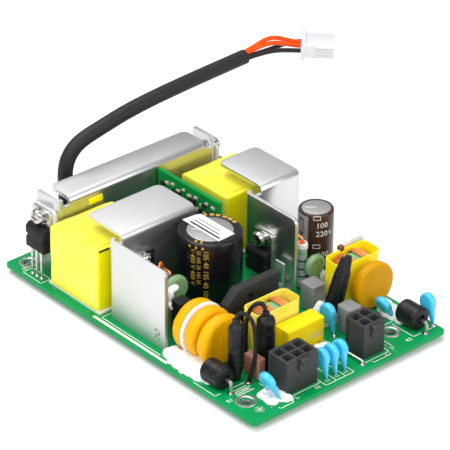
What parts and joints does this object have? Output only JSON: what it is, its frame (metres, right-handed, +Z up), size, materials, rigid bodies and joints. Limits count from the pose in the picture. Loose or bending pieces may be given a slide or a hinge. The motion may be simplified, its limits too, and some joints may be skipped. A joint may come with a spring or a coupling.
{
  "type": "power supply",
  "caption": "Open-frame power supply on a green circuit board, with folded heatsinks, taped transformers, upright capacitors, chokes, keyed power headers and a short cable to a white plug.",
  "frame": {"origin": "middle of the circuit board's outline, at the tips of the solder joints under it", "axes": "+X along the board's short side, +Y along its long side from the headers to the rear bracket, +Z up from the board's face"},
  "size_m": [0.1489, 0.1338, 0.0541],
  "materials": {
    "bare_aluminium": "drawn, satin",
    "black_jacket": "soft matt",
    "black_nylon": "fine satin",
    "black_shrink": "shrunk tube, wrinkled",
    "black_sleeve": "shrunk sleeve",
    "blue_resin": "dipped resin",
    "brown_sleeve": "shrunk sleeve",
    "chip_black": "moulded, matt",
    "copper_wire": "enamelled",
    "cream_plastic": "moulded",
    "daughter_laminate": "semi-gloss solder mask",
    "golden_resin": "dipped resin",
    "green_coating": "epoxy",
    "green_laminate": "semi-gloss solder mask",
    "green_resin": "dipped resin",
    "grey_box": "moulded",
    "moulded_black": "moulded, matt",
    "nickel_steel": "nickel plated",
    "ochre_resin": "dipped resin",
    "orange_jacket": "soft matt",
    "pink_box": "moulded",
    "resistor_coat": "lacquer with bands",
    "satin_aluminium": "mill finish with fine streaks",
    "solder": "soft sheen",
    "tinned_metal": "tinned",
    "white_plastic": "moulded",
    "white_silicone": "soft sheen",
    "white_silicone_pad": "soft",
    "yellow_box": "moulded",
    "yellow_tape": "polyester tape"
  },
  "bodies": {
    "root": {"arrester_leads": "tinned_metal", "arrester_sleeves": "black_shrink", "banded_resistors": "resistor_coat", "black_wires": "black_jacket", "blue_capacitor_row": "blue_resin", "blue_capacitors": "blue_resin", "bridge_rectifier": "moulded_black", "bridge_rectifier_pins": "tinned_metal", "cable_sleeve": "black_jacket", "capacitor_discs": "bare_aluminium", "choke_bases": "cream_plastic", "choke_cores": "green_coating", "choke_sleeves": "yellow_tape", "choke_windings": "copper_wire", "circuit_board": "green_laminate", "dark_film_capacitor": "moulded_black", "daughter_board": "daughter_laminate", "daughter_board_chips": "chip_black", "disc_legs": "tinned_metal", "film_capacitor": "yellow_box", "flat_washers": "nickel_steel", "four_way_header": "black_nylon", "front_grey_film_capacitor": "grey_box", "fuse_return_leads": "black_shrink", "green_capacitors": "green_resin", "header_pins": "tinned_metal", "heatsink_lug": "tinned_metal", "heatsink_nuts": "nickel_steel", "heatsink_screws": "nickel_steel", "inrush_disc": "ochre_resin", "insulating_plates": "white_silicone_pad", "jumper_wire": "tinned_metal", "leaning_sleeved_fuse": "black_shrink", "left_fuse_sleeve": "black_shrink", "left_heatsink": "satin_aluminium", "left_transformer_wrap": "yellow_tape", "main_capacitor": "black_sleeve", "mounting_rings": "tinned_metal", "orange_wires": "orange_jacket", "pink_film_capacitor": "pink_box", "rear_bracket": "satin_aluminium", "rear_grey_film_capacitor": "grey_box", "resistor_wires": "tinned_metal", "right_fuse_sleeve": "black_shrink", "right_heatsink": "satin_aluminium", "right_transformer_wrap": "yellow_tape", "signal_plug": "white_plastic", "silicone_patches": "white_silicone", "six_way_header": "black_nylon", "small_capacitor": "brown_sleeve", "solder_joints": "solder", "spring_washers": "nickel_steel", "surge_disc_spacer": "white_plastic", "surge_discs": "golden_resin", "transformer_bobbins": "cream_plastic", "transistor_cases": "moulded_black", "transistor_leadframes": "tinned_metal", "upright_card": "cream_plastic"}
  },
  "joints": []
}
